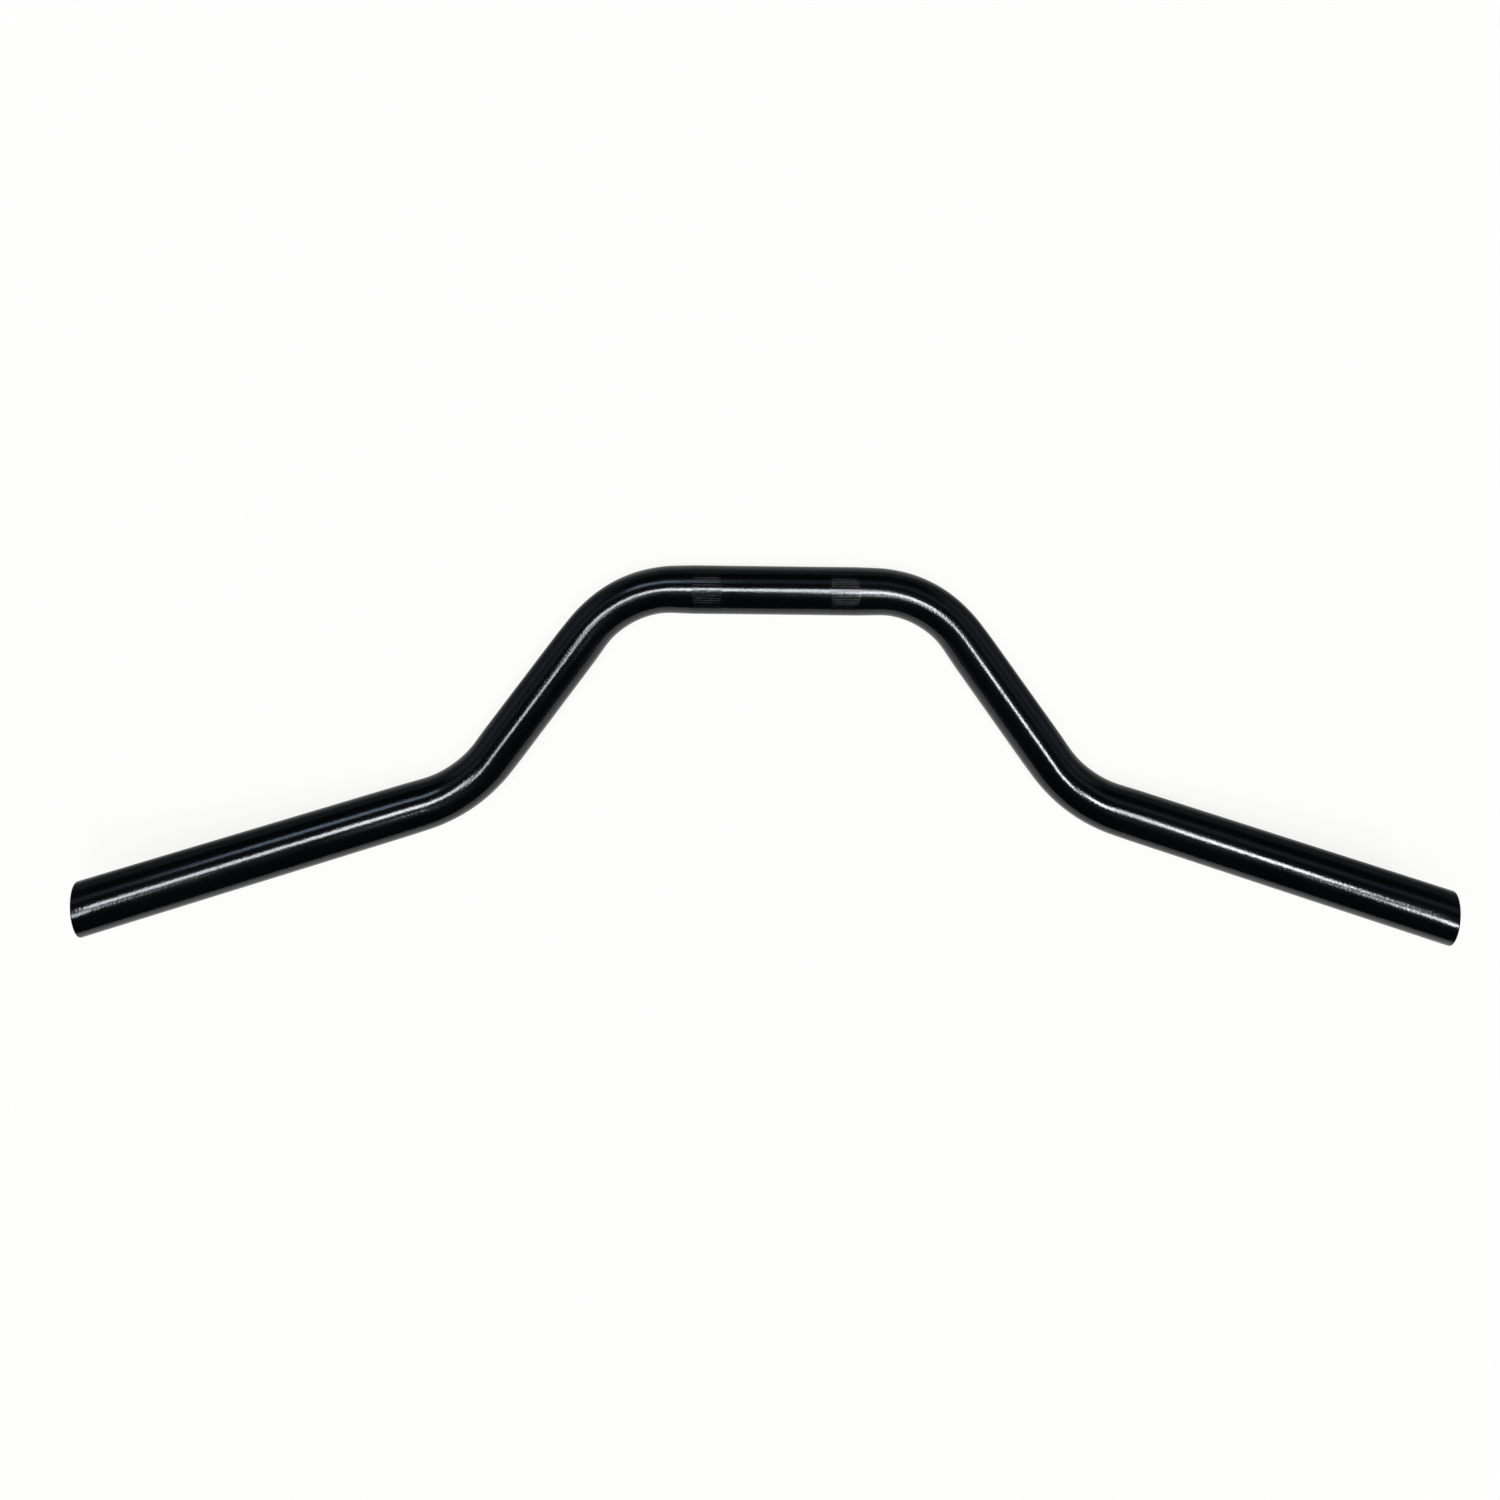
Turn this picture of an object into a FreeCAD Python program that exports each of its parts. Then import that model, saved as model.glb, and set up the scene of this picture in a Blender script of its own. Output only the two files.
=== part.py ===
import FreeCAD, Part
import os
import Sketcher

# A bicycle handlebar, bent from one length of round steel tube. A straight stretch in the middle is
# held by the stem and carries two knurled bands. From it, a bend on each side leads into a leg, and a
# second bend, rolled out of the plane of the first, leads into a straight stretch for the grip.
#
# The bar lies as it comes to rest: the clamp stretch and the legs are level, and the grips rise.
# The origin is the middle of the clamp stretch, on the tube's centreline. +X runs along that stretch,
# -Y towards the grips and +Z up. Left and right are alike, so the +X half is made and then mirrored.

# Driving sizes: millimetres, degrees for the angles and the roll, and a count of teeth
SIZES = {
    "tube_diameter": 22.2,
    "wall": 2.0,
    "clamp_straight": 96.5,
    "bend_radius": 51.0,
    "shoulder_angle": 53.6,
    "leg_straight": 69.0,
    "grip_angle": 41.2,
    "grip_roll": 19.5,
    "grip_straight": 144.5,
    "rim_round": 0.6,
    "bore_deburr": 0.3,
    "knurl_spacing": 65.0,
    "knurl_length": 14.0,
    "knurl_teeth": 60,
    "knurl_rise": 0.05,
    "knurl_depth": 0.3,
    "knurl_angle": 90.0,
}

# What follows from them: the tube's radii, the end of the leg and the near end of a knurled band
OUTER_RADIUS = "(sizes.tube_diameter / 2)"
BORE_RADIUS = "(sizes.tube_diameter / 2 - sizes.wall)"
MIDWALL_RADIUS = "(sizes.tube_diameter / 2 - sizes.wall / 2)"
KNURL_RADIUS = "(sizes.tube_diameter / 2 + sizes.knurl_rise)"
LEG_END_X = (
    "(sizes.clamp_straight / 2 + sizes.bend_radius * sin(sizes.shoulder_angle)"
    " + sizes.leg_straight * cos(sizes.shoulder_angle))"
)
LEG_END_Y = (
    "(sizes.bend_radius * (cos(sizes.shoulder_angle) - 1)"
    " - sizes.leg_straight * sin(sizes.shoulder_angle))"
)
KNURL_START_X = "(sizes.knurl_spacing / 2 - sizes.knurl_length / 2)"

ORIGIN = FreeCAD.Vector(0, 0, 0)
X_DIRECTION = FreeCAD.Vector(1, 0, 0)
NORMAL = FreeCAD.Vector(0, 0, 1)

# How a sketch numbers the points of a line or arc, and its own origin and vertical axis
START, END, CENTRE = range(1, 4)
SKETCH_ORIGIN = (-1, START)
SKETCH_Y_AXIS = (-2,)


def add_sizes(doc):
    sheet = doc.addObject("Spreadsheet::Sheet", "sizes")
    for row, (name, value) in enumerate(SIZES.items(), start=1):
        sheet.set(f"A{row}", name)
        sheet.set(f"B{row}", str(value))
        sheet.setAlias(f"B{row}", name)
    doc.recompute()


def origin_feature(body, role):
    """One of the body's own planes or axes, such as YZ_Plane or X_Axis."""
    return next(feature for feature in body.Origin.OriginFeatures if feature.Role == role)


def add_sketch(body, name, plane_role, offset=None):
    """An empty sketch on one of the body's own planes, or moved from it by a bound placement."""
    sketch = body.newObject("Sketcher::SketchObject", name)
    sketch.AttachmentSupport = (origin_feature(body, plane_role), [""])
    sketch.MapMode = "FlatFace"
    if offset:
        sketch.setExpression("AttachmentOffset", offset)
    return sketch


def bind(sketch, expression, *constraint):
    """Adds a dimension to a sketch and ties it to the sheet."""
    index = sketch.addConstraint(Sketcher.Constraint(*constraint, sketch.evalExpression(expression)))
    sketch.setExpression(f"Constraints[{index}]", expression)


def join(sketch, kind, *points):
    """Adds a rule that has no size, such as two points that meet."""
    sketch.addConstraint(Sketcher.Constraint(kind, *points))


def draw_ring(sketch, outer_radius, inner_radius):
    """Two circles about the sketch's origin."""
    for radius in (outer_radius, inner_radius):
        circle = sketch.addGeometry(Part.Circle(ORIGIN, NORMAL, sketch.evalExpression(radius)))
        join(sketch, "Coincident", circle, CENTRE, *SKETCH_ORIGIN)
        bind(sketch, radius, "Radius", circle)


def draw_run(sketch, start, heading, length):
    """A straight run that leaves start at an angle to +x. Returns its number and its end."""
    end = start + FreeCAD.Rotation(NORMAL, heading).multVec(X_DIRECTION) * sketch.evalExpression(length)
    line = sketch.addGeometry(Part.LineSegment(start, end))
    bind(sketch, length, "Distance", line)
    return line, end


def draw_bend(sketch, start, side, turn):
    """An arc that leaves start along +x, to the left if side is 1 and to the right if it is -1."""
    arm = FreeCAD.Vector(0, side * sketch.evalExpression("sizes.bend_radius"), 0)
    turned = side * sketch.evalExpression(turn)
    middle, end = [start + arm - FreeCAD.Rotation(NORMAL, a).multVec(arm) for a in (turned / 2, turned)]
    arc = sketch.addGeometry(Part.Arc(start, middle, end))
    bind(sketch, "sizes.bend_radius", "Radius", arc)
    bind(sketch, f"{turn} * 1 deg", "Angle", arc)
    return arc, end


def draw_inner_path(sketch):
    """The centreline of half the clamp stretch, the first bend and the leg, in the level plane."""
    heading = -sketch.evalExpression("sizes.shoulder_angle")
    clamp, clamp_end = draw_run(sketch, ORIGIN, 0, "sizes.clamp_straight / 2")
    bend, bend_end = draw_bend(sketch, clamp_end, -1, "sizes.shoulder_angle")
    leg, leg_end = draw_run(sketch, bend_end, heading, "sizes.leg_straight")
    # An arc runs anticlockwise, so this bend to the right starts at the leg and ends at the clamp
    join(sketch, "Coincident", clamp, START, *SKETCH_ORIGIN)
    join(sketch, "Horizontal", clamp)
    join(sketch, "Tangent", clamp, END, bend, END)
    join(sketch, "Tangent", bend, START, leg, START)


def draw_grip_path(sketch):
    """The centreline of the second bend and the grip, in a plane that holds the leg's centreline."""
    heading = sketch.evalExpression("sizes.grip_angle")
    bend, bend_end = draw_bend(sketch, ORIGIN, 1, "sizes.grip_angle")
    grip, grip_end = draw_run(sketch, bend_end, heading, "sizes.grip_straight")
    # The bend starts at the leg's end, with its centre square to the leg
    join(sketch, "Coincident", bend, START, *SKETCH_ORIGIN)
    join(sketch, "PointOnObject", bend, CENTRE, *SKETCH_Y_AXIS)
    join(sketch, "Tangent", bend, END, grip, START)


def draw_groove(sketch):
    """A V into the top of the band, drawn a quarter higher than it is deep, to clear the band's round."""
    bottom = f"{KNURL_RADIUS} - sizes.knurl_depth"
    height = "sizes.knurl_depth * 1.25"
    foot = FreeCAD.Vector(0, sketch.evalExpression(bottom), 0)
    rise = sketch.evalExpression(height)
    spread = sketch.evalExpression(f"{height} * tan(sizes.knurl_angle / 2)")
    right_lip = foot + FreeCAD.Vector(spread, rise, 0)
    left_lip = foot + FreeCAD.Vector(-spread, rise, 0)
    right = sketch.addGeometry(Part.LineSegment(foot, right_lip))
    mouth = sketch.addGeometry(Part.LineSegment(right_lip, left_lip))
    left = sketch.addGeometry(Part.LineSegment(left_lip, foot))
    for side, following in ((right, mouth), (mouth, left), (left, right)):
        join(sketch, "Coincident", side, END, following, START)
    join(sketch, "PointOnObject", right, START, *SKETCH_Y_AXIS)
    join(sketch, "Symmetric", mouth, START, mouth, END, *SKETCH_Y_AXIS)
    bind(sketch, bottom, "DistanceY", *SKETCH_ORIGIN, right, START)
    bind(sketch, height, "DistanceY", right, START, right, END)
    bind(sketch, "sizes.knurl_angle * 1 deg", "Angle", left, END, right, START)


def sweep_tube(body, name, ring, path):
    pipe = body.newObject("PartDesign::AdditivePipe", name)
    pipe.Profile = ring
    pipe.Spine = (path, [f"Edge{n + 1}" for n in range(path.GeometryCount)])
    body.Document.recompute()
    return pipe


def rim_edge(feature, radius):
    """The name of the round edge of that radius furthest out along the bar."""
    wanted = feature.evalExpression(radius)
    rims = [
        (edge.CenterOfMass.x, f"Edge{n}")
        for n, edge in enumerate(feature.Shape.Edges, start=1)
        if edge.Curve.TypeId == "Part::GeomCircle" and abs(edge.Curve.Radius - wanted) < 1e-6
    ]
    return max(rims)[1]


doc = FreeCAD.newDocument("handlebar")
add_sizes(doc)
bar = doc.addObject("PartDesign::Body", "handlebar")

# Half the clamp stretch, the first bend and the leg, all in the level plane
clamp_ring = add_sketch(bar, "clamp_ring", "YZ_Plane")
draw_ring(clamp_ring, OUTER_RADIUS, BORE_RADIUS)
inner_path = add_sketch(bar, "inner_path", "XY_Plane")
draw_inner_path(inner_path)
doc.recompute()
clamp_and_leg = sweep_tube(bar, "clamp_and_leg", clamp_ring, inner_path)

# The second bend and the grip, in a plane rolled about the leg's centreline
leg_ring = add_sketch(
    bar,
    "leg_ring",
    "YZ_Plane",
    f"placement(vector({LEG_END_Y}; 0; {LEG_END_X}); rotation(vector(0; 1; 0); -sizes.shoulder_angle))",
)
draw_ring(leg_ring, OUTER_RADIUS, BORE_RADIUS)
grip_path = add_sketch(
    bar,
    "grip_path",
    "XY_Plane",
    f"placement(vector({LEG_END_X}; {LEG_END_Y}; 0); rotation(vector(0; 0; 1); -sizes.shoulder_angle)"
    " * rotation(vector(1; 0; 0); sizes.grip_roll))",
)
draw_grip_path(grip_path)
doc.recompute()
grip = sweep_tube(bar, "grip", leg_ring, grip_path)

# The cut end: rounded outside, where a grip slides on, and deburred inside
rim = bar.newObject("PartDesign::Fillet", "rim")
rim.Base = (grip, [rim_edge(grip, OUTER_RADIUS)])
rim.setExpression("Radius", "sizes.rim_round")
doc.recompute()
mouth = bar.newObject("PartDesign::Chamfer", "mouth")
mouth.Base = (rim, [rim_edge(rim, BORE_RADIUS)])
mouth.setExpression("Size", "sizes.bore_deburr")
doc.recompute()

# A straight-knurled band for the stem to bite on. Rolling raises the tube a little between the grooves,
# so the band is a low collar, cut by one groove along the tube that is repeated round it
knurl_start = f"placement(vector(0; 0; {KNURL_START_X}); rotation(vector(0; 0; 1); 0))"
band_ring = add_sketch(bar, "band_ring", "YZ_Plane", knurl_start)
draw_ring(band_ring, KNURL_RADIUS, MIDWALL_RADIUS)
groove_outline = add_sketch(bar, "groove_outline", "YZ_Plane", knurl_start)
draw_groove(groove_outline)
doc.recompute()
band = bar.newObject("PartDesign::Pad", "band")
band.Profile = band_ring
band.setExpression("Length", "sizes.knurl_length")
doc.recompute()
groove = bar.newObject("PartDesign::Pocket", "groove")
groove.Profile = groove_outline
groove.Reversed = True
groove.setExpression("Length", "sizes.knurl_length")
doc.recompute()
knurl = bar.newObject("PartDesign::PolarPattern", "knurl")
knurl.Originals = [groove]
knurl.Axis = (origin_feature(bar, "X_Axis"), [""])
knurl.Angle = 360
knurl.setExpression("Occurrences", "sizes.knurl_teeth")
bar.Tip = knurl
doc.recompute()

# The other half of the bar
halves = bar.newObject("PartDesign::Mirrored", "halves")
halves.TransformMode = "Whole shape"
halves.MirrorPlane = (origin_feature(bar, "YZ_Plane"), [""])
bar.Tip = halves
doc.recompute()

# Nothing is written unless every feature was made and the bar is one sound solid
failed = [obj.Name for obj in doc.Objects if {"Invalid", "Error"} & set(obj.State)]
if failed:
    raise RuntimeError(f"these features failed: {failed}")
if not band.Shape.Volume > groove.Shape.Volume > knurl.Shape.Volume:
    raise RuntimeError("the knurl's grooves cut nothing")
if bar.Shape.isNull() or not bar.Shape.isValid() or len(bar.Shape.Solids) != 1:
    raise RuntimeError("the handlebar isn't one valid solid")

os.makedirs("parts", exist_ok=True)
bar.Shape.exportStep(f"parts/{bar.Label}.step")
print(f"{bar.Label}: {bar.Shape.Volume / 1000:.2f} cm3, {len(bar.Shape.Faces)} faces")
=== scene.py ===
import math

import bpy
from mathutils import Matrix, Vector


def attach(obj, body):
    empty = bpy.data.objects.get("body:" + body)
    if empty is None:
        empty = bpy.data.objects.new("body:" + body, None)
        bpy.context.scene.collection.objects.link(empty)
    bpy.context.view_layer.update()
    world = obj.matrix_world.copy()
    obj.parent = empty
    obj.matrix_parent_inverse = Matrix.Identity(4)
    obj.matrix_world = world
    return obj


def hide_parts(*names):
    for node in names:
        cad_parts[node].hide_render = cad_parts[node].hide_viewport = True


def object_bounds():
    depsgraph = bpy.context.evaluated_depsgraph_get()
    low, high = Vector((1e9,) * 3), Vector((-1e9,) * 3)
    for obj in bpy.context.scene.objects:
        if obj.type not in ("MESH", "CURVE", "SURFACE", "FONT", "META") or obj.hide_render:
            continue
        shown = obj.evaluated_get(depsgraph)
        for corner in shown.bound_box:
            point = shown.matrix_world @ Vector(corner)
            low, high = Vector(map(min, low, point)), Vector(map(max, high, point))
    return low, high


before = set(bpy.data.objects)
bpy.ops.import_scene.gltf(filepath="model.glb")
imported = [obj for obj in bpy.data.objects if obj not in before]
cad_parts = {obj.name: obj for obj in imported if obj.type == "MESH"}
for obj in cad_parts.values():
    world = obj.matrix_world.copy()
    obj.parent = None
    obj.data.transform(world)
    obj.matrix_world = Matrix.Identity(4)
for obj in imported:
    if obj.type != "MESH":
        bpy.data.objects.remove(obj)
cad_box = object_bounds()

# The handlebar: one length of 22.2 mm steel tube with a 2 mm wall. While straight, it is cut to length,
# rounded and deburred at both ends, and rolled with two knurled bands for the stem to bite on. It is then
# bent four times round a former, which squeezes it a little flat in the bends, and coated black.
MM = 0.001
TUBE_RADIUS, BORE_RADIUS = 11.1 * MM, 9.1 * MM
CLAMP_STRAIGHT, LEG_STRAIGHT, GRIP_STRAIGHT = 96.5 * MM, 69.0 * MM, 144.5 * MM
BEND_RADIUS = 51.0 * MM
SHOULDER_ANGLE, GRIP_ANGLE, GRIP_ROLL = (math.radians(a) for a in (53.6, 41.2, 19.5))
SHOULDER_FLATTENING, GRIP_FLATTENING = 0.043, 0.027
RIM_ROUND, BORE_DEBURR = 0.6 * MM, 0.3 * MM
KNURL_SPACING, KNURL_LENGTH, KNURL_RUNOUT = 65.0 * MM, 14.0 * MM, 0.4 * MM
# The knurl is rolled 0.3 mm deep and stands 0.05 mm proud. The coat nearly fills its grooves and evens it
# out. Each tooth is drawn by six columns of points, which crowd towards its groove.
KNURL_TEETH, KNURL_RISE, GROOVE_DEPTH = 60, 0.02 * MM, 0.028 * MM
TOOTH_COLUMNS, GROOVE_CROWDING = 6, 0.77

# The corners that the centreline would have with no bends, from the left end to the right
leg_way = Vector((math.cos(SHOULDER_ANGLE), -math.sin(SHOULDER_ANGLE), 0))
level_outward = Vector((math.sin(SHOULDER_ANGLE), math.cos(SHOULDER_ANGLE), 0))
outward = Matrix.Rotation(GRIP_ROLL, 3, leg_way) @ level_outward
grip_way = leg_way * math.cos(GRIP_ANGLE) + outward * math.sin(GRIP_ANGLE)
shoulder_reach = BEND_RADIUS * math.tan(SHOULDER_ANGLE / 2)
grip_reach = BEND_RADIUS * math.tan(GRIP_ANGLE / 2)
shoulder_corner = Vector((CLAMP_STRAIGHT / 2 + shoulder_reach, 0, 0))
grip_corner = shoulder_corner + leg_way * (shoulder_reach + LEG_STRAIGHT + grip_reach)
right_corners = [shoulder_corner, grip_corner, grip_corner + grip_way * (grip_reach + GRIP_STRAIGHT)]
left_corners = [Vector((-p.x, p.y, p.z)) for p in reversed(right_corners)]
all_corners = left_corners + right_corners
centreline_curve = bpy.data.curves.new("centreline", "CURVE")
centreline_curve.dimensions = "3D"
corner_line = centreline_curve.splines.new("POLY")
corner_line.points.add(len(all_corners) - 1)
for corner, corner_place in zip(corner_line.points, all_corners):
    corner.co = (*corner_place, 1)
centreline = bpy.data.objects.new("centreline", centreline_curve)
bpy.context.scene.collection.objects.link(centreline)

# The tube's wall in section, while straight: x runs along the tube and y is the radius. Half of it is
# walked along the outside from the middle, round the cut end and back along the bore, and the other half
# mirrors it. Each mark is a place, with the step between the stations that follow it.
shoulder_start = CLAMP_STRAIGHT / 2
shoulder_end = shoulder_start + BEND_RADIUS * SHOULDER_ANGLE
grip_bend_start = shoulder_end + LEG_STRAIGHT
grip_bend_end = grip_bend_start + BEND_RADIUS * GRIP_ANGLE
half_length = grip_bend_end + GRIP_STRAIGHT
band_start = (KNURL_SPACING - KNURL_LENGTH) / 2
band_end = band_start + KNURL_LENGTH
outside_marks = [
    (0, 13 * MM),
    (band_start - KNURL_RUNOUT, KNURL_RUNOUT),
    (band_start + 2 * KNURL_RUNOUT, KNURL_LENGTH),
    (band_end - 2 * KNURL_RUNOUT, KNURL_RUNOUT),
    (band_end + KNURL_RUNOUT, 4 * MM),
    (shoulder_start, 1.8 * MM),
    (shoulder_end, 8 * MM),
    (grip_bend_start, 1.8 * MM),
    (grip_bend_end, 8 * MM),
    (half_length - RIM_ROUND, 0),
]
bore_marks = [
    (half_length - BORE_DEBURR, 12 * MM),
    (grip_bend_end, 4 * MM),
    (grip_bend_start, 16 * MM),
    (shoulder_end, 4 * MM),
    (shoulder_start, 16 * MM),
    (0, 0),
]


def stations(marks):
    """Places along the tube, even between two marks, at about the first one's step."""
    places = []
    for (start, step), (end, _) in zip(marks, marks[1:]):
        count = max(1, round(abs(end - start) / step))
        places += [start + (end - start) * i / count for i in range(count)]
    return places + [marks[-1][0]]


half_wall = [(x, TUBE_RADIUS) for x in stations(outside_marks)]
RIM_STEPS = 6
for step in range(1, RIM_STEPS + 1):
    round_turn = math.radians(90 * step / RIM_STEPS)
    inset = RIM_ROUND * (1 - math.cos(round_turn))
    half_wall.append((half_length - RIM_ROUND * (1 - math.sin(round_turn)), TUBE_RADIUS - inset))
half_wall.append((half_length, BORE_RADIUS + BORE_DEBURR))
half_wall += [(x, BORE_RADIUS) for x in stations(bore_marks)]
wall = half_wall + [(-x, r) for x, r in reversed(half_wall[1:-1])]
wall_mesh = bpy.data.meshes.new("wall_section")
wall_mesh.from_pydata([(x, r, 0) for x, r in wall], [], [])
knurled = wall_mesh.attributes.new("knurled", "FLOAT", "POINT")
bare = wall_mesh.attributes.new("bare", "FLOAT", "POINT")
# The coat reaches a little way into the bore and then thins out
COAT_REACH, COAT_FADE = 6 * MM, 24 * MM
for i, (x, r) in enumerate(wall):
    in_band = band_start + KNURL_RUNOUT / 2 < abs(x) < band_end - KNURL_RUNOUT / 2
    knurled.data[i].value = 1.0 if in_band and r == TUBE_RADIUS else 0.0
    faded = (half_length - abs(x) - COAT_REACH) / COAT_FADE if r == BORE_RADIUS else 0.0
    bare.data[i].value = min(max(faded, 0.0), 1.0)
blank = bpy.data.objects.new("tube_blank", wall_mesh)
bpy.context.scene.collection.objects.link(blank)


def add(tree, kind, inputs=(), **settings):
    """Adds a node with its settings. An input, by place or name, is a value, a socket or a node to link."""
    node = tree.nodes.new(kind)
    for name, value in settings.items():
        setattr(node, name, value)
    for socket, value in inputs.items() if isinstance(inputs, dict) else enumerate(inputs):
        if isinstance(value, bpy.types.Node):
            value = value.outputs[0]
        if isinstance(value, bpy.types.NodeSocket):
            tree.links.new(value, node.inputs[socket])
        else:
            node.inputs[socket].default_value = value
    return node


def srgb(hex_text):
    """A colour written as sRGB hex, as the linear colour that a shader takes."""
    parts = [int(hex_text[i : i + 2], 16) / 255 for i in (1, 3, 5)]
    return [p / 12.92 if p <= 0.04045 else ((p + 0.055) / 1.055) ** 2.4 for p in parts] + [1.0]


# Black powder coat on steel: a stoved skin about 0.1 mm thick, nearly black all through. It gives the eye
# a clear long highlight that a fine orange peel breaks into grain. Inside the ends it thins out to bare
# steel.
coat = bpy.data.materials.new("black_powder_coat")
coat.use_nodes = True
shade = coat.node_tree
shade.nodes.clear()
place = add(shade, "ShaderNodeTexCoord").outputs["Object"]
# Orange peel, slower waves where the powder flowed, and patches that are a little duller than others
PEEL_SPAN, PEEL_HEIGHT = 0.9 * MM, 0.04 * MM
FLOW_SPAN, FLOW_HEIGHT = 9 * MM, 0.008 * MM
PATCH_SPAN = 35 * MM
peel = add(
    shade,
    "ShaderNodeTexNoise",
    {"Vector": place, "Scale": 1 / PEEL_SPAN, "Detail": 2.0, "Roughness": 0.55},
)
flow = add(shade, "ShaderNodeTexNoise", {"Vector": place, "Scale": 1 / FLOW_SPAN, "Detail": 1.0})
patchy = add(shade, "ShaderNodeTexNoise", {"Vector": place, "Scale": 1 / PATCH_SPAN, "Detail": 4.0})
waves = add(shade, "ShaderNodeBump", {"Height": flow, "Distance": FLOW_HEIGHT, "Strength": 1.0})
skin = add(
    shade,
    "ShaderNodeBump",
    {"Height": peel, "Distance": PEEL_HEIGHT, "Strength": 1.0, "Normal": waves},
)
black = add(
    shade,
    "ShaderNodeMix",
    {"Factor": patchy, "A": srgb("#020203"), "B": srgb("#050607")},
    data_type="RGBA",
).outputs[2]
gloss = add(
    shade,
    "ShaderNodeMapRange",
    {"Value": patchy, "From Min": 0.3, "From Max": 0.7, "To Min": 0.11, "To Max": 0.15},
)
coated = add(shade, "ShaderNodeBsdfPrincipled", {"Base Color": black, "Roughness": gloss, "Normal": skin})
# The drawn tube's own inside: dull grey steel with brownish stains
STAIN_SPAN = 6 * MM
stain = add(
    shade,
    "ShaderNodeTexNoise",
    {"Vector": place, "Scale": 1 / STAIN_SPAN, "Detail": 6.0, "Roughness": 0.65},
)
drawn_grey = add(
    shade,
    "ShaderNodeMix",
    {"Factor": stain, "A": srgb("#4f4a45"), "B": srgb("#77746f")},
    data_type="RGBA",
).outputs[2]
steel = add(
    shade,
    "ShaderNodeBsdfPrincipled",
    {"Base Color": drawn_grey, "Metallic": 1.0, "Roughness": 0.48},
)
bareness = add(shade, "ShaderNodeAttribute", attribute_name="bare_steel").outputs["Fac"]
surface = add(shade, "ShaderNodeMixShader", [bareness, coated, steel])
add(shade, "ShaderNodeOutputMaterial", {"Surface": surface})

# The tree that makes the bar. Round the tube, each knurl tooth has six columns, which draw a narrow groove
# and a wide crest. Along the tube, each row is a station of the wall's section. The straight tube's points
# are then carried to the rounded centreline.
bar_tree = bpy.data.node_groups.new("bent_tube", "GeometryNodeTree")
bar_inputs = {
    "Wall Section": ("NodeSocketGeometry", None),
    "Centreline": ("NodeSocketObject", centreline),
    "Bend Radius": ("NodeSocketFloat", BEND_RADIUS),
    "Knurl Teeth": ("NodeSocketInt", KNURL_TEETH),
    "Knurl Rise": ("NodeSocketFloat", KNURL_RISE),
    "Groove Depth": ("NodeSocketFloat", GROOVE_DEPTH),
    "Leg Middle": ("NodeSocketFloat", (shoulder_end + grip_bend_start) / 2),
    "Shoulder Flattening": ("NodeSocketFloat", SHOULDER_FLATTENING),
    "Grip Flattening": ("NodeSocketFloat", GRIP_FLATTENING),
    "Flattening Onset": ("NodeSocketFloat", 8 * MM),
    "Coat": ("NodeSocketMaterial", coat),
}
sockets = {
    name: bar_tree.interface.new_socket(name, in_out="INPUT", socket_type=kind)
    for name, (kind, _) in bar_inputs.items()
}
bar_tree.interface.new_socket("Bar", in_out="OUTPUT", socket_type="NodeSocketGeometry")
given = add(bar_tree, "NodeGroupInput").outputs

# Rows and columns of the net, closed both ways by one that repeats the first
index = add(bar_tree, "GeometryNodeInputIndex")
station_count = add(bar_tree, "GeometryNodeAttributeDomainSize", {"Geometry": given["Wall Section"]})
rows = add(bar_tree, "FunctionNodeIntegerMath", [station_count, 1], operation="ADD")
columns = add(
    bar_tree,
    "FunctionNodeIntegerMath",
    [given["Knurl Teeth"], TOOTH_COLUMNS, 1],
    operation="MULTIPLY_ADD",
)
net = add(bar_tree, "GeometryNodeMeshGrid", {"Vertices X": rows, "Vertices Y": columns})
row = add(bar_tree, "FunctionNodeIntegerMath", [index, columns], operation="DIVIDE_FLOOR")
station = add(bar_tree, "FunctionNodeIntegerMath", [row, station_count], operation="FLOORED_MODULO")
column = add(bar_tree, "FunctionNodeIntegerMath", [index, columns], operation="FLOORED_MODULO")

# What the wall's section says at each station
fields = {"place": ("FLOAT_VECTOR", add(bar_tree, "GeometryNodeInputPosition"))}
for name in ("knurled", "bare"):
    marking = add(bar_tree, "GeometryNodeInputNamedAttribute", {"Name": name}, data_type="FLOAT")
    fields[name] = ("FLOAT", marking)
at_station = {
    name: add(
        bar_tree,
        "GeometryNodeSampleIndex",
        {"Geometry": given["Wall Section"], "Value": field, "Index": station},
        data_type=kind,
    )
    for name, (kind, field) in fields.items()
}
section = add(bar_tree, "ShaderNodeSeparateXYZ", [at_station["place"]]).outputs

# Each column's turn round the tube. One column of a tooth's six lies in the groove, and in the knurled
# bands the rest crowd towards it, so that the groove is narrow.
turn_by_columns = 2 * math.pi / TOOTH_COLUMNS
half_tooth = TOOTH_COLUMNS / 2
in_knurl, knurl_rise, groove_depth = at_station["knurled"], given["Knurl Rise"], given["Groove Depth"]
column_turn = add(bar_tree, "ShaderNodeMath", [turn_by_columns, given["Knurl Teeth"]], operation="DIVIDE")
past_groove = add(bar_tree, "ShaderNodeMath", [column, half_tooth, -half_tooth], operation="WRAP")
crowding = add(bar_tree, "ShaderNodeMath", [in_knurl, -GROOVE_CROWDING], operation="MULTIPLY")
column_place = add(bar_tree, "ShaderNodeMath", [past_groove, crowding, column], operation="MULTIPLY_ADD")
turn = add(bar_tree, "ShaderNodeMath", [column_place, column_turn], operation="MULTIPLY")
from_groove = add(bar_tree, "ShaderNodeMath", [past_groove], operation="ABSOLUTE")
crest_share = add(bar_tree, "ShaderNodeMath", [from_groove, 1.0], operation="MINIMUM")
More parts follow.
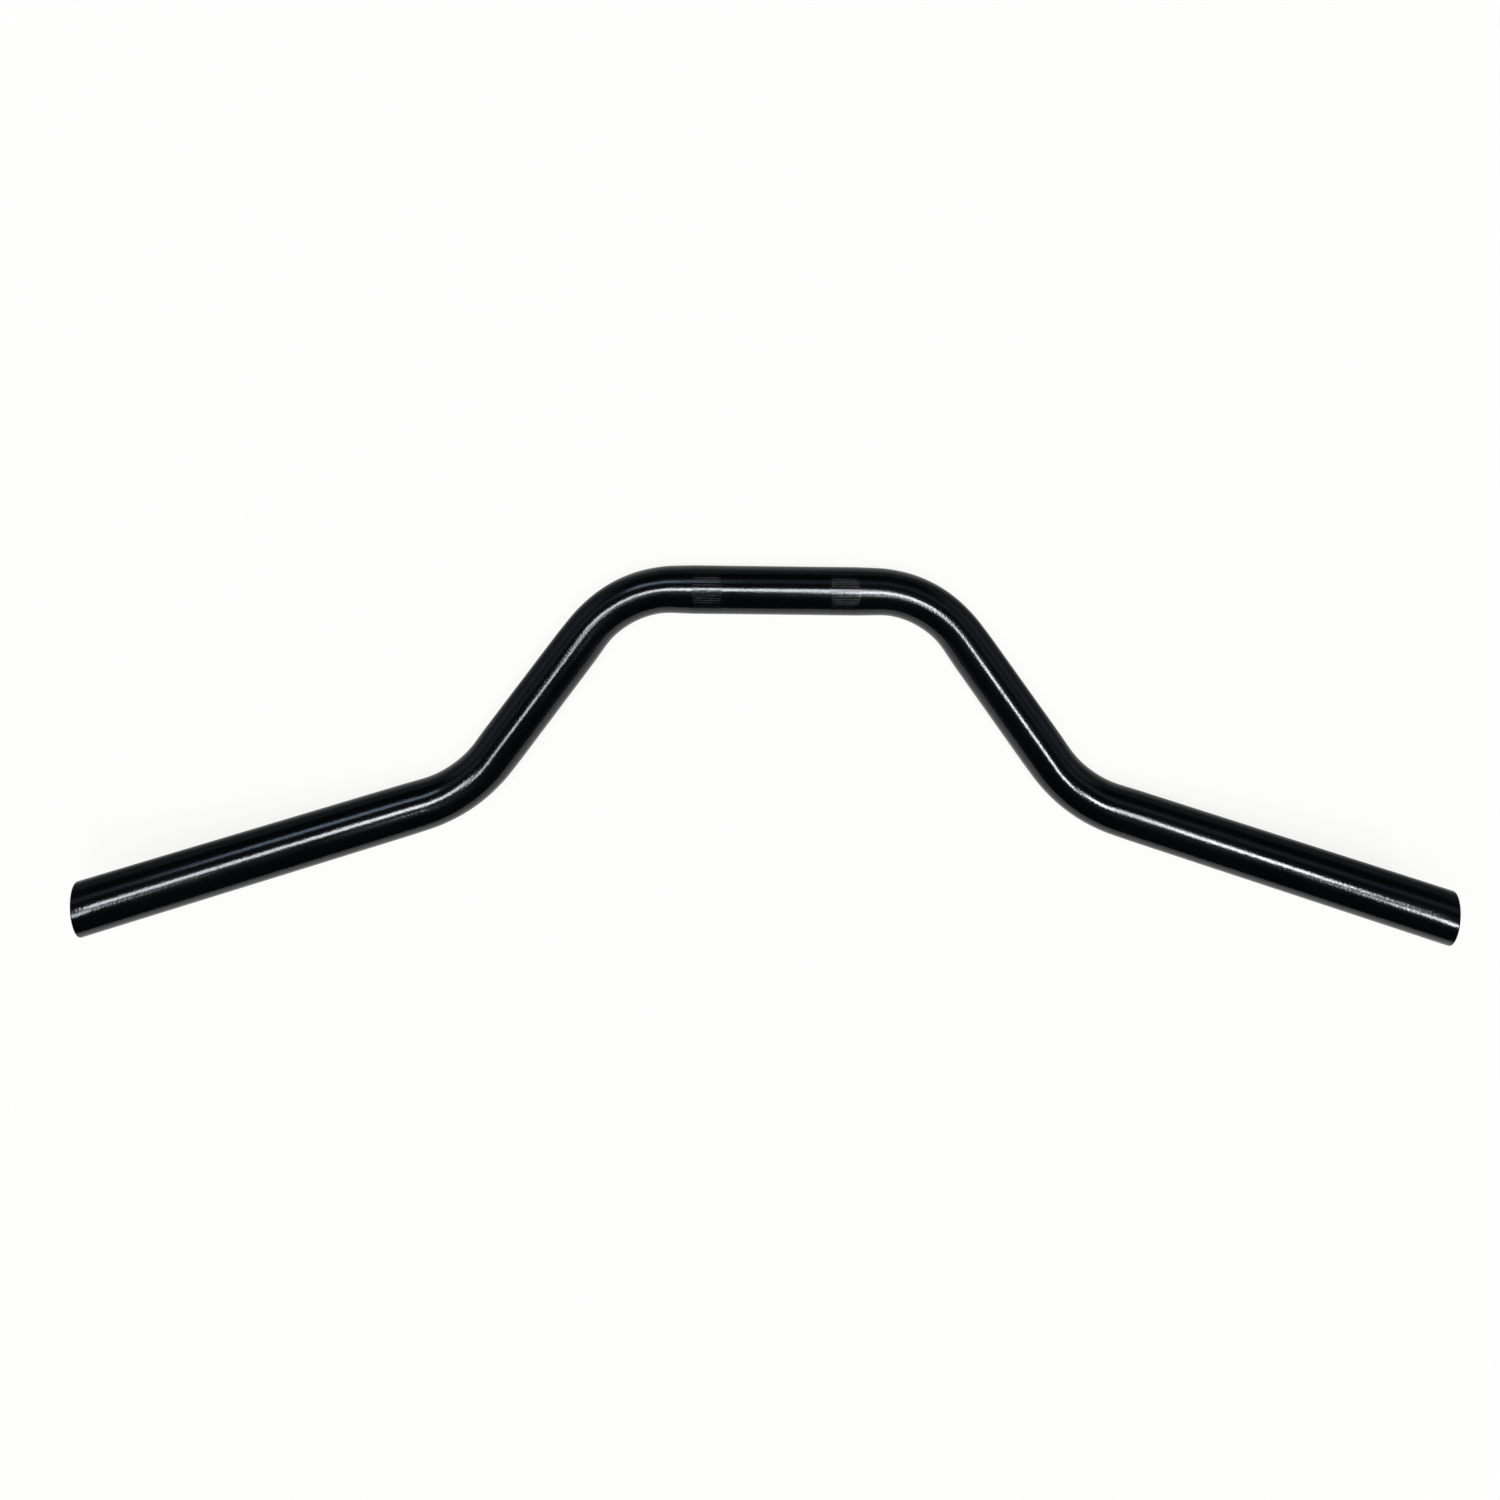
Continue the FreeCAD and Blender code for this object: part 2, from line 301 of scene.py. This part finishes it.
bottom = add(bar_tree, "ShaderNodeMath", [knurl_rise, groove_depth], operation="SUBTRACT")
tooth = add(bar_tree, "ShaderNodeMath", [crest_share, groove_depth, bottom], operation="MULTIPLY_ADD")
radius = add(bar_tree, "ShaderNodeMath", [in_knurl, tooth, section["Y"]], operation="MULTIPLY_ADD")
cosine = add(bar_tree, "ShaderNodeMath", [turn], operation="COSINE")
sine = add(bar_tree, "ShaderNodeMath", [turn], operation="SINE")
sideways = add(bar_tree, "ShaderNodeMath", [radius, cosine], operation="MULTIPLY")
upright = add(bar_tree, "ShaderNodeMath", [radius, sine], operation="MULTIPLY")

# The centreline, its corners rounded to the former's radius, at each station and a little before and after
BEND_POINTS = 96
corners = add(bar_tree, "GeometryNodeObjectInfo", {"Object": given["Centreline"]}).outputs["Geometry"]
rounded = add(
    bar_tree,
    "GeometryNodeFilletCurve",
    {"Curve": corners, "Count": BEND_POINTS, "Radius": given["Bend Radius"]},
    mode="POLY",
)
path = add(bar_tree, "GeometryNodeSetCurveNormal", {"Curve": rounded}, mode="Z_UP")
path_length = add(bar_tree, "GeometryNodeCurveLength", {"Curve": path})
along = add(bar_tree, "ShaderNodeMath", [path_length, 0.5, section["X"]], operation="MULTIPLY_ADD")
onset = given["Flattening Onset"]
ahead = add(bar_tree, "ShaderNodeMath", [along, onset], operation="ADD")
behind = add(bar_tree, "ShaderNodeMath", [along, onset], operation="SUBTRACT")
here, before, after = [
    add(bar_tree, "GeometryNodeSampleCurve", {"Curves": path, "Length": length}, mode="LENGTH").outputs
    for length in (along, behind, ahead)
]

# The tube's round, set across the centreline and squeezed flat towards the inside of each bend
binormal = add(
    bar_tree,
    "ShaderNodeVectorMath",
    [here["Tangent"], here["Normal"]],
    operation="CROSS_PRODUCT",
)
across = add(bar_tree, "ShaderNodeVectorMath", {0: here["Normal"], "Scale": sideways}, operation="SCALE")
over = add(bar_tree, "ShaderNodeVectorMath", {0: binormal, "Scale": upright}, operation="SCALE")
spoke = add(bar_tree, "ShaderNodeVectorMath", [across, over], operation="ADD")
turning = add(bar_tree, "ShaderNodeVectorMath", [after["Tangent"], before["Tangent"]], operation="SUBTRACT")
inward = add(bar_tree, "ShaderNodeVectorMath", [turning], operation="NORMALIZE")
lean = add(bar_tree, "ShaderNodeVectorMath", [spoke, inward], operation="DOT_PRODUCT").outputs["Value"]
turned = add(bar_tree, "ShaderNodeVectorMath", [turning], operation="LENGTH").outputs["Value"]
turned_length = add(bar_tree, "ShaderNodeMath", [turned, given["Bend Radius"]], operation="MULTIPLY")
full_length = add(bar_tree, "ShaderNodeMath", [onset, 2.0], operation="MULTIPLY")
bend_share = add(bar_tree, "ShaderNodeMath", [turned_length, full_length], operation="DIVIDE")
from_middle = add(bar_tree, "ShaderNodeMath", [section["X"]], operation="ABSOLUTE")
past_leg = add(bar_tree, "ShaderNodeMath", [from_middle, given["Leg Middle"]], operation="GREATER_THAN")
flattening = add(
    bar_tree,
    "GeometryNodeSwitch",
    {"Switch": past_leg, "False": given["Shoulder Flattening"], "True": given["Grip Flattening"]},
    input_type="FLOAT",
)
flat_share = add(bar_tree, "ShaderNodeMath", [flattening, bend_share], operation="MULTIPLY")
squeeze = add(bar_tree, "ShaderNodeMath", [lean, flat_share], operation="MULTIPLY")
pull = add(bar_tree, "ShaderNodeVectorMath", {0: inward, "Scale": squeeze}, operation="SCALE")
flat_spoke = add(bar_tree, "ShaderNodeVectorMath", [spoke, pull], operation="SUBTRACT")
bent = add(bar_tree, "ShaderNodeVectorMath", [here["Position"], flat_spoke], operation="ADD")
bent_net = add(bar_tree, "GeometryNodeSetPosition", {"Geometry": net, "Position": bent})
marked = add(
    bar_tree,
    "GeometryNodeStoreNamedAttribute",
    {"Geometry": bent_net, "Name": "bare_steel", "Value": at_station["bare"]},
    data_type="FLOAT",
    domain="POINT",
)
SEAM_WIDTH = 0.002 * MM
closed = add(bar_tree, "GeometryNodeMergeByDistance", {"Geometry": marked, "Distance": SEAM_WIDTH})
outside_out = add(bar_tree, "GeometryNodeFlipFaces", {"Mesh": closed})
smooth = add(bar_tree, "GeometryNodeSetShadeSmooth", {"Geometry": outside_out})
real = add(bar_tree, "GeometryNodeRealizeInstances", {"Geometry": smooth})
painted = add(bar_tree, "GeometryNodeSetMaterial", {"Geometry": real, "Material": given["Coat"]})
add(bar_tree, "NodeGroupOutput", {"Bar": painted})

bending = blank.modifiers.new("bending", "NODES")
bending.node_group = bar_tree
for name, (_, value) in bar_inputs.items():
    if value is not None:
        bending[sockets[name].identifier] = value
depsgraph = bpy.context.evaluated_depsgraph_get()
bar_mesh = bpy.data.meshes.new_from_object(
    blank.evaluated_get(depsgraph), preserve_all_data_layers=True, depsgraph=depsgraph
)
bar_mesh.name = "coated_bar"
# The deburred edges at the ends stay sharp
bar_mesh.set_sharp_from_angle(angle=math.radians(44))
coated_bar = bpy.data.objects.new("coated_bar", bar_mesh)
bpy.context.scene.collection.objects.link(coated_bar)
blank.modifiers.remove(bending)
bpy.data.objects.remove(blank)
bpy.data.objects.remove(centreline)
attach(coated_bar, "root")
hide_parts("handlebar")

# The floor: a wide sheet of white paper that the bar lies on. It is lit by the lamps and keeps the bar's
# soft shadow, and it glows to the eye and in reflections, so that it shows as white. In reflections the
# glow also holds a painted shadow behind the bar.
FLOOR_SIZE = 6.0
floor_z = cad_box[0].z
floor_mesh = bpy.data.meshes.new("paper_floor")
floor_mesh.from_pydata(
    [(x * FLOOR_SIZE / 2, y * FLOOR_SIZE / 2, floor_z) for x, y in ((-1, -1), (1, -1), (1, 1), (-1, 1))],
    [],
    [(0, 1, 2, 3)],
)
paper = bpy.data.materials.new("white_paper")
paper.use_nodes = True
sheet = paper.node_tree
sheet.nodes.clear()
floor_ray = add(sheet, "ShaderNodeLightPath").outputs
floor_place = add(sheet, "ShaderNodeTexCoord").outputs["Object"]
away = add(sheet, "ShaderNodeVectorMath", [floor_place], operation="LENGTH").outputs["Value"]
# Further out, where no shadow falls and the lamps grow weak, the glow makes up for them
glow = add(
    sheet,
    "ShaderNodeMapRange",
    {"Value": away, "From Min": 0.3, "From Max": 1.1, "To Min": 0.9, "To Max": 1.0},
    interpolation_type="SMOOTHSTEP",
)
# Mirrored in the coat, the paper is white in front of the bar and dim behind it, along its whole line:
# a painted shadow of the bar, which only reflections see
floor_xyz = add(sheet, "ShaderNodeSeparateXYZ", [floor_place]).outputs
floor_aside = add(sheet, "ShaderNodeMath", [floor_xyz["X"]], operation="ABSOLUTE")
behind_bar = floor_xyz["Y"]
for near, far in zip(right_corners, right_corners[1:]):
    drop = near.y - far.y
    fall = add(
        sheet,
        "ShaderNodeMapRange",
        {"Value": floor_aside, "From Min": near.x, "From Max": far.x, "To Min": 0.0, "To Max": drop},
    )
    behind_bar = add(sheet, "ShaderNodeMath", [behind_bar, fall], operation="ADD")
# The glow in reflections fades out behind the bar: this fade is painted shadow
painted_shadow_glow = add(
    sheet,
    "ShaderNodeMapRange",
    {"Value": behind_bar, "From Min": -10 * MM, "From Max": 65 * MM, "To Min": 0.6, "To Max": 0.0},
    interpolation_type="SMOOTHSTEP",
)
mirrored = add(
    sheet,
    "ShaderNodeMath",
    [floor_ray["Is Glossy Ray"], floor_ray["Is Transmission Ray"]],
    operation="MAXIMUM",
)
mirrored_painted_shadow = add(sheet, "ShaderNodeMath", [mirrored, painted_shadow_glow], operation="MULTIPLY")
seen_glow = add(
    sheet,
    "ShaderNodeMath",
    [floor_ray["Is Camera Ray"], glow, mirrored_painted_shadow],
    operation="MULTIPLY_ADD",
)
dull = add(sheet, "ShaderNodeBsdfDiffuse", {"Color": srgb("#5a5a59"), "Roughness": 0.6})
white = add(sheet, "ShaderNodeEmission", {"Color": srgb("#fcfcfa"), "Strength": seen_glow})
both = add(sheet, "ShaderNodeAddShader", [dull, white])
add(sheet, "ShaderNodeOutputMaterial", {"Surface": both})
floor_mesh.materials.append(paper)
floor = bpy.data.objects.new("paper_floor", floor_mesh)
bpy.context.scene.collection.objects.link(floor)

# The room: white to the eye all round. In reflections it is dark, apart from a dim cool band of wall behind
# the bar, half-way up, and the feet of the walls on the left and right.
room = bpy.data.worlds.new("studio_room")
bpy.context.scene.world = room
room.use_nodes = True
walls = room.node_tree
walls.nodes.clear()
room_ray = add(walls, "ShaderNodeLightPath").outputs
room_way = add(walls, "ShaderNodeTexCoord").outputs["Generated"]
room_xyz = add(walls, "ShaderNodeSeparateXYZ", [room_way]).outputs
room_aside = add(walls, "ShaderNodeMath", [room_xyz["X"]], operation="ABSOLUTE")
# Each row is one measure of a direction in the room, where it starts and ends, and the light it gives there
band_foot, band_top, back_wall, side_wall, side_top = [
    add(
        walls,
        "ShaderNodeMapRange",
        {"Value": value, "From Min": start, "From Max": end, "To Min": low, "To Max": high},
        interpolation_type="SMOOTHSTEP",
    )
    for value, start, end, low, high in (
        (room_xyz["Z"], 0.46, 0.58, 0.0, 1.0),
        (room_xyz["Z"], 0.68, 0.82, 1.0, 0.0),
        (room_xyz["Y"], -0.1, 0.25, 0.0, 0.3),
        (room_aside, 0.5, 0.8, 0.0, 0.3),
        (room_xyz["Z"], 0.3, 0.55, 1.0, 0.0),
    )
]
DARK_LEVEL = 0.015
side_light = add(walls, "ShaderNodeMath", [side_wall, side_top, DARK_LEVEL], operation="MULTIPLY_ADD")
band = add(walls, "ShaderNodeMath", [band_foot, band_top], operation="MULTIPLY")
dim = add(walls, "ShaderNodeMath", [band, back_wall, side_light], operation="MULTIPLY_ADD")
level = add(walls, "ShaderNodeMath", [dim, room_ray["Is Camera Ray"]], operation="MAXIMUM")
tint = add(
    walls,
    "ShaderNodeMix",
    {"Factor": room_ray["Is Camera Ray"], "A": srgb("#cfe0f5"), "B": srgb("#fcfcfa")},
    data_type="RGBA",
).outputs[2]
air = add(walls, "ShaderNodeBackground", {"Color": tint, "Strength": level})
add(walls, "ShaderNodeOutputWorld", {"Surface": air})

# The lamps: three softboxes in an arch over the bar and a higher one on each side for its legs, which show
# in the coat as the highlight, and a cool window behind it on the left.
for name, colour, watts, size, turn_deg, stand, aim in (
    ("left_softbox", "#f4f9ff", 4.6, (0.42, 0.20), 27.0, (-0.285, 0.075, 1.1), (-0.20, -0.1, 0.0)),
    ("middle_softbox", "#f4f9ff", 3.6, (0.29, 0.22), 8.0, (0.02, 0.145, 1.1), (0.0, 0.0, 0.0)),
    ("right_softbox", "#f9fbff", 4.0, (0.22, 0.19), -25.0, (0.222, -0.003, 1.1), (0.17, -0.09, 0.0)),
    ("left_leg_softbox", "#eef5ff", 6.5, (0.48, 0.28), 53.6, (-0.58, -0.44, 2.0), (-0.118, -0.055, 0.0)),
    ("right_leg_softbox", "#f6faff", 12.5, (0.48, 0.27), -53.6, (0.53, -0.53, 2.0), (0.118, -0.055, 0.0)),
    ("window", "#bcd4f0", 1.4, (0.50, 0.22), 0.0, (-0.35, 0.85, 0.85), (-0.05, -0.05, 0.0)),
):
    lamp = bpy.data.lights.new(name, "AREA")
    lamp.shape = "RECTANGLE"
    lamp.size, lamp.size_y = size
    lamp.color = srgb(colour)[:3]
    lamp.energy = watts
    holder = bpy.data.objects.new(name, lamp)
    backward = (Vector(stand) - Vector(aim)).normalized()
    along_way = Matrix.Rotation(math.radians(turn_deg), 3, "Z") @ Vector((1, 0, 0))
    upward = backward.cross(along_way).normalized()
    holder.matrix_world = Matrix((upward.cross(backward), upward, backward)).transposed().to_4x4()
    holder.location = stand
    holder.visible_camera = False
    bpy.context.scene.collection.objects.link(holder)

# The camera looks down on the bar from close above it. Its picture is the lower part of a wider one, so the
# lens is shifted.
lens = bpy.data.cameras.new("camera")
lens.sensor_width = 36.0
lens.lens = 29.27
lens.shift_x, lens.shift_y = -0.0233, -0.3456
camera = bpy.data.objects.new("camera", lens)
camera.location = (-0.00981, 0.07969, 0.60167)
camera.rotation_euler = [math.radians(a) for a in (8.835, -1.239, 0.808)]
bpy.context.scene.collection.objects.link(camera)
bpy.context.scene.camera = camera
bpy.context.scene.view_settings.view_transform = "Standard"
